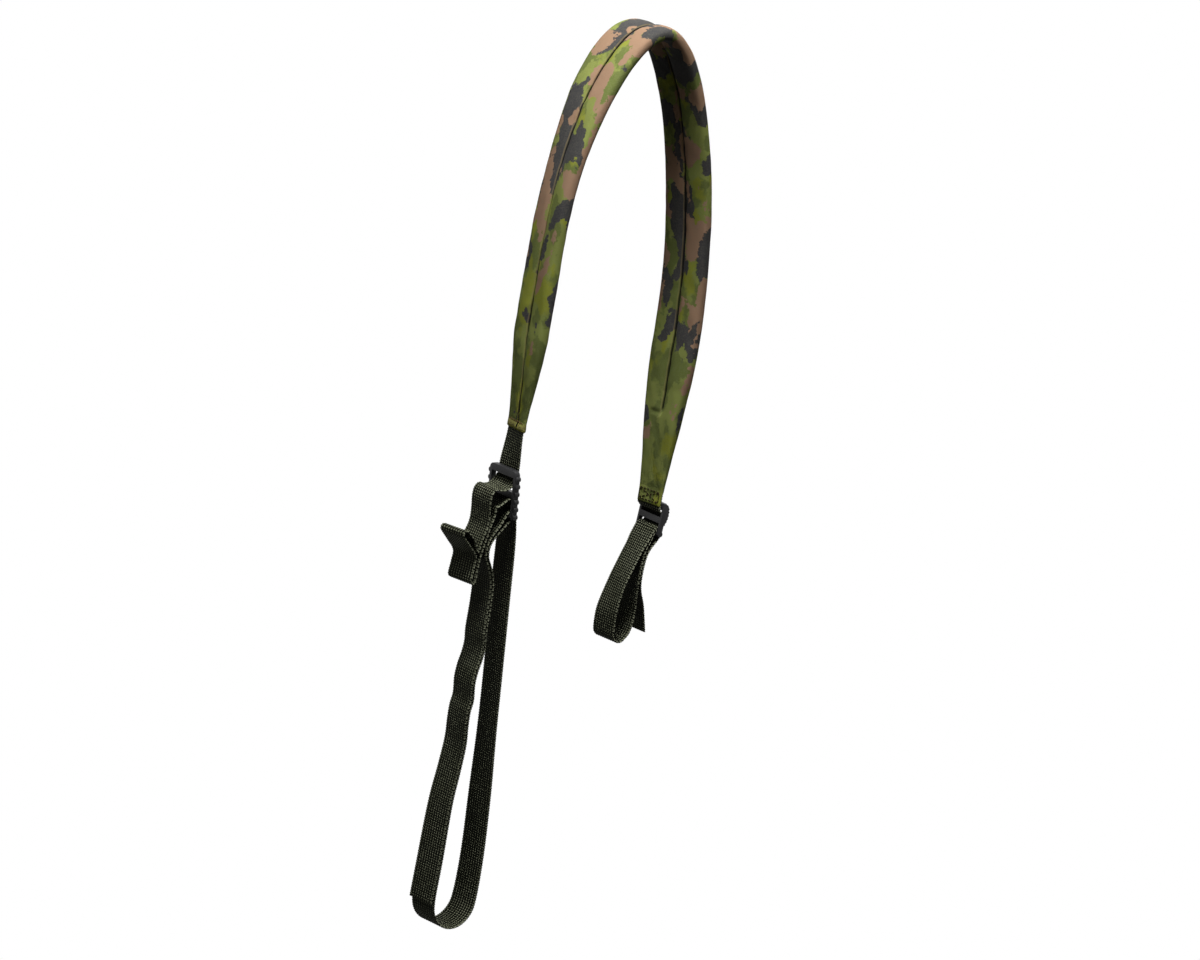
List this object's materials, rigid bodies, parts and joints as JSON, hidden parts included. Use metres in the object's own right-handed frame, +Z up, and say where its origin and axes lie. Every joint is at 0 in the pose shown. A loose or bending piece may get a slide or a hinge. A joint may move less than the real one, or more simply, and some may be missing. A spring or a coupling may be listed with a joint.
{
  "type": "padded carrying sling",
  "caption": "Quilted shoulder sling hung as an inverted U, with webbing loops threaded through three-bar plastic sliders at both ends.",
  "frame": {"origin": "where the inner face of the pad's top rests on its hanger, at the middle of the pad's width", "axes": "+Z up along the hanging legs, +X from the front leg to the rear leg, +Y across the strap"},
  "size_m": [0.2061, 0.045, 0.6841],
  "materials": {
    "cover": "matte",
    "foam": "matte",
    "webbing": "matte",
    "thread": "matte",
    "slider": "matte"
  },
  "bodies": {
    "pad": {"pad_cover_outer": "cover", "pad_cover_inner": "cover", "pad_foam_outer": "foam", "pad_foam_inner": "foam", "core_webbing": "webbing", "seam_thread_outer": "thread", "seam_thread_inner": "thread", "front_hem_stitch": "thread", "rear_box_stitch": "thread", "front_stub": "webbing"},
    "front_carriage": {"front_slider": "slider", "front_slack": "webbing"},
    "front_hang": {"front_loop": "webbing"},
    "rear_carriage": {"rear_slider": "slider", "rear_threading": "webbing"},
    "rear_hang": {"rear_loop": "webbing"},
    "rear_end": {"rear_tail": "webbing"}
  },
  "joints": [
    {"name": "front_slide", "type": "slide", "parent": "pad", "child": "front_carriage", "axis": [0, 0, 1], "range_m": [0, 0.022], "deforming": ["front_stub"]},
    {"name": "front_loop_swing", "type": "hinge", "parent": "front_carriage", "child": "front_hang", "pos_m": [-0.0653, 0, -0.35843], "axis": [0, -1, 0], "range_deg": [0, 25]},
    {"name": "rear_tilt", "type": "hinge", "parent": "pad", "child": "rear_carriage", "pos_m": [0.08822, 0, -0.3512], "axis": [0, -1, 0], "range_deg": [-6, 26]},
    {"name": "rear_loop_swing", "type": "hinge", "parent": "rear_carriage", "child": "rear_hang", "pos_m": [0.08677, 0, -0.37195], "axis": [0, -1, 0], "range_deg": [-18, 18]},
    {"name": "rear_tail_swing", "type": "hinge", "parent": "rear_hang", "child": "rear_end", "pos_m": [0.08677, 0, -0.37195], "axis": [0, -1, 0], "range_deg": [0, 45]}
  ]
}
